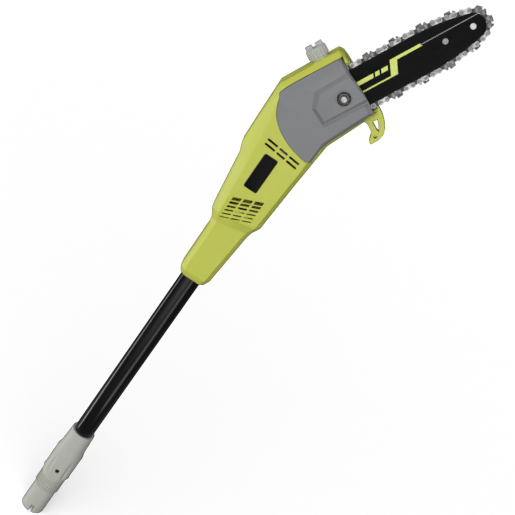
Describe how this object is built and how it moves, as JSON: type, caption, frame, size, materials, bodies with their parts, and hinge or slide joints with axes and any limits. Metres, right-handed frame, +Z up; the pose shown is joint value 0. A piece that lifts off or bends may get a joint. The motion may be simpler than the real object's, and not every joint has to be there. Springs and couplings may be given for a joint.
{
  "type": "pole saw head",
  "caption": "Powered pole saw head: plug-in coupling and straight tube, motor housing with a limb hook, leaning guide bar with saw chain, sprocket cover and screw-on oil cap.",
  "frame": {"origin": "centre of the coupling spigot's lower end, on the pole axis", "axes": "+Z up the pole towards the bar's nose, +X towards the side the bar leans to, -Y towards the sprocket cover"},
  "size_m": [0.1827, 0.0765, 1.0189],
  "materials": {
    "coupling_grey": "satin moulded plastic",
    "cap_grey": "satin moulded plastic",
    "tube_black": "gloss black paint on aluminium",
    "shell_green": "satin moulded plastic",
    "cover_grey": "fine textured moulded plastic",
    "label_black": "gloss",
    "insulator_black": "matt moulded plastic",
    "contact_brass": "bright",
    "wire_insulation": "smooth insulation",
    "rubber": "matt",
    "screw_steel": "zinc plated",
    "plate_steel": "bright",
    "case_aluminium": "die cast",
    "bearing_steel": "ground",
    "motor_steel": "rolled",
    "tank_white": "translucent moulded plastic",
    "pump_plastic": "satin moulded plastic",
    "shaft_steel": "ground",
    "gear_steel": "oiled",
    "armature_steel": "laminated steel with copper windings",
    "bar_black": "satin black paint with a lime and grey graphic",
    "nose_rivet_steel": "bright",
    "chain_steel": "bright",
    "cutter_chrome": "chrome plated"
  },
  "bodies": {
    "head": {"tube_coupling": "coupling_grey", "coupling_screw": "screw_steel", "plug_insert": "insulator_black", "plug_contacts": "contact_brass", "motor_wires": "wire_insulation", "pole_tube": "tube_black", "tube_bolt": "screw_steel", "housing_front": "shell_green", "housing_back": "shell_green", "housing_screws": "screw_steel", "label_plate": "label_black", "limb_hook": "shell_green", "bar_plate": "plate_steel", "bar_stud": "plate_steel", "gear_case": "case_aluminium", "gear_case_lid": "case_aluminium", "gear_case_screws": "screw_steel", "spindle_bearings": "bearing_steel", "pinion_bearing": "bearing_steel", "motor_can": "motor_steel", "motor_end_cap": "insulator_black", "oil_tank": "tank_white", "oil_pump": "pump_plastic", "oil_hoses": "rubber"},
    "rotor": {"motor_shaft": "shaft_steel", "armature": "armature_steel", "bevel_pinion": "gear_steel", "cooling_fan": "insulator_black"},
    "drive": {"spindle": "shaft_steel", "bevel_gear": "gear_steel", "pump_drive_gear": "pump_plastic", "drive_sprocket": "gear_steel", "spindle_clip": "shaft_steel"},
    "pump": {"pump_gear": "pump_plastic"},
    "bar": {"guide_bar": "bar_black", "nose_rivets": "nose_rivet_steel", "drive_links": "chain_steel", "tie_straps": "chain_steel", "cutters": "cutter_chrome", "chain_rivets": "chain_steel", "tension_block": "plate_steel"},
    "nose": {"nose_sprocket": "gear_steel"},
    "screw": {"tension_screw": "screw_steel"},
    "cover": {"sprocket_cover": "cover_grey"},
    "washer": {"bar_nut_washer": "screw_steel"},
    "nut": {"bar_nut": "screw_steel"},
    "gasket": {"cap_gasket": "rubber"},
    "cap": {"oil_cap": "cap_grey"}
  },
  "joints": [
    {"name": "rotor_spin", "type": "hinge", "parent": "head", "child": "rotor", "pos_m": [0, 0, 0.778], "axis": [0, 0, 1], "continuous": true},
    {"name": "spindle_spin", "type": "hinge", "parent": "head", "child": "drive", "pos_m": [0, 0, 0.778], "axis": [0, 1, 0], "continuous": true},
    {"name": "pump_spin", "type": "hinge", "parent": "head", "child": "pump", "pos_m": [-0.01268, 0, 0.79113], "axis": [0, 1, 0], "continuous": true},
    {"name": "nose_spin", "type": "hinge", "parent": "bar", "child": "nose", "pos_m": [0.10796, -0.016, 0.99358], "axis": [0, 1, 0], "continuous": true},
    {"name": "tension_turn", "type": "hinge", "parent": "head", "child": "screw", "pos_m": [0.03043, -0.0055, 0.8075], "axis": [0.4478, 0, 0.8942], "range_deg": [0, 1350]},
    {"name": "bar_slide", "type": "slide", "parent": "head", "child": "bar", "axis": [0.4478, 0, 0.8942], "range_m": [-0.003, 0]},
    {"name": "cover_lift", "type": "slide", "parent": "head", "child": "cover", "axis": [0, -1, 0], "range_m": [0, 0.05]},
    {"name": "nut_travel", "type": "slide", "parent": "cover", "child": "washer", "axis": [0, -1, 0], "range_m": [0, 0.0138]},
    {"name": "nut_turn", "type": "hinge", "parent": "washer", "child": "nut", "pos_m": [0.0266, -0.032, 0.83111], "axis": [0, -1, 0], "range_deg": [0, 3960]},
    {"name": "cap_travel", "type": "slide", "parent": "head", "child": "gasket", "axis": [-0.8942, 0, 0.4478], "range_m": [0, 0.0088]},
    {"name": "cap_turn", "type": "hinge", "parent": "gasket", "child": "cap", "pos_m": [-0.02947, 0.005, 0.85315], "axis": [-0.8942, 0, 0.4478], "range_deg": [0, 900]}
  ],
  "couplings": [
    {"joint": "spindle_spin", "follows": "rotor_spin", "ratio": 0.31579},
    {"joint": "pump_spin", "follows": "rotor_spin", "ratio": -0.1579},
    {"joint": "nose_spin", "follows": "rotor_spin", "ratio": 0.23684},
    {"joint": "tension_turn", "follows": "bar_slide", "rad_per_m": -7853},
    {"joint": "nut_turn", "follows": "nut_travel", "rad_per_m": 5006},
    {"joint": "cap_turn", "follows": "cap_travel", "rad_per_m": 1784}
  ]
}
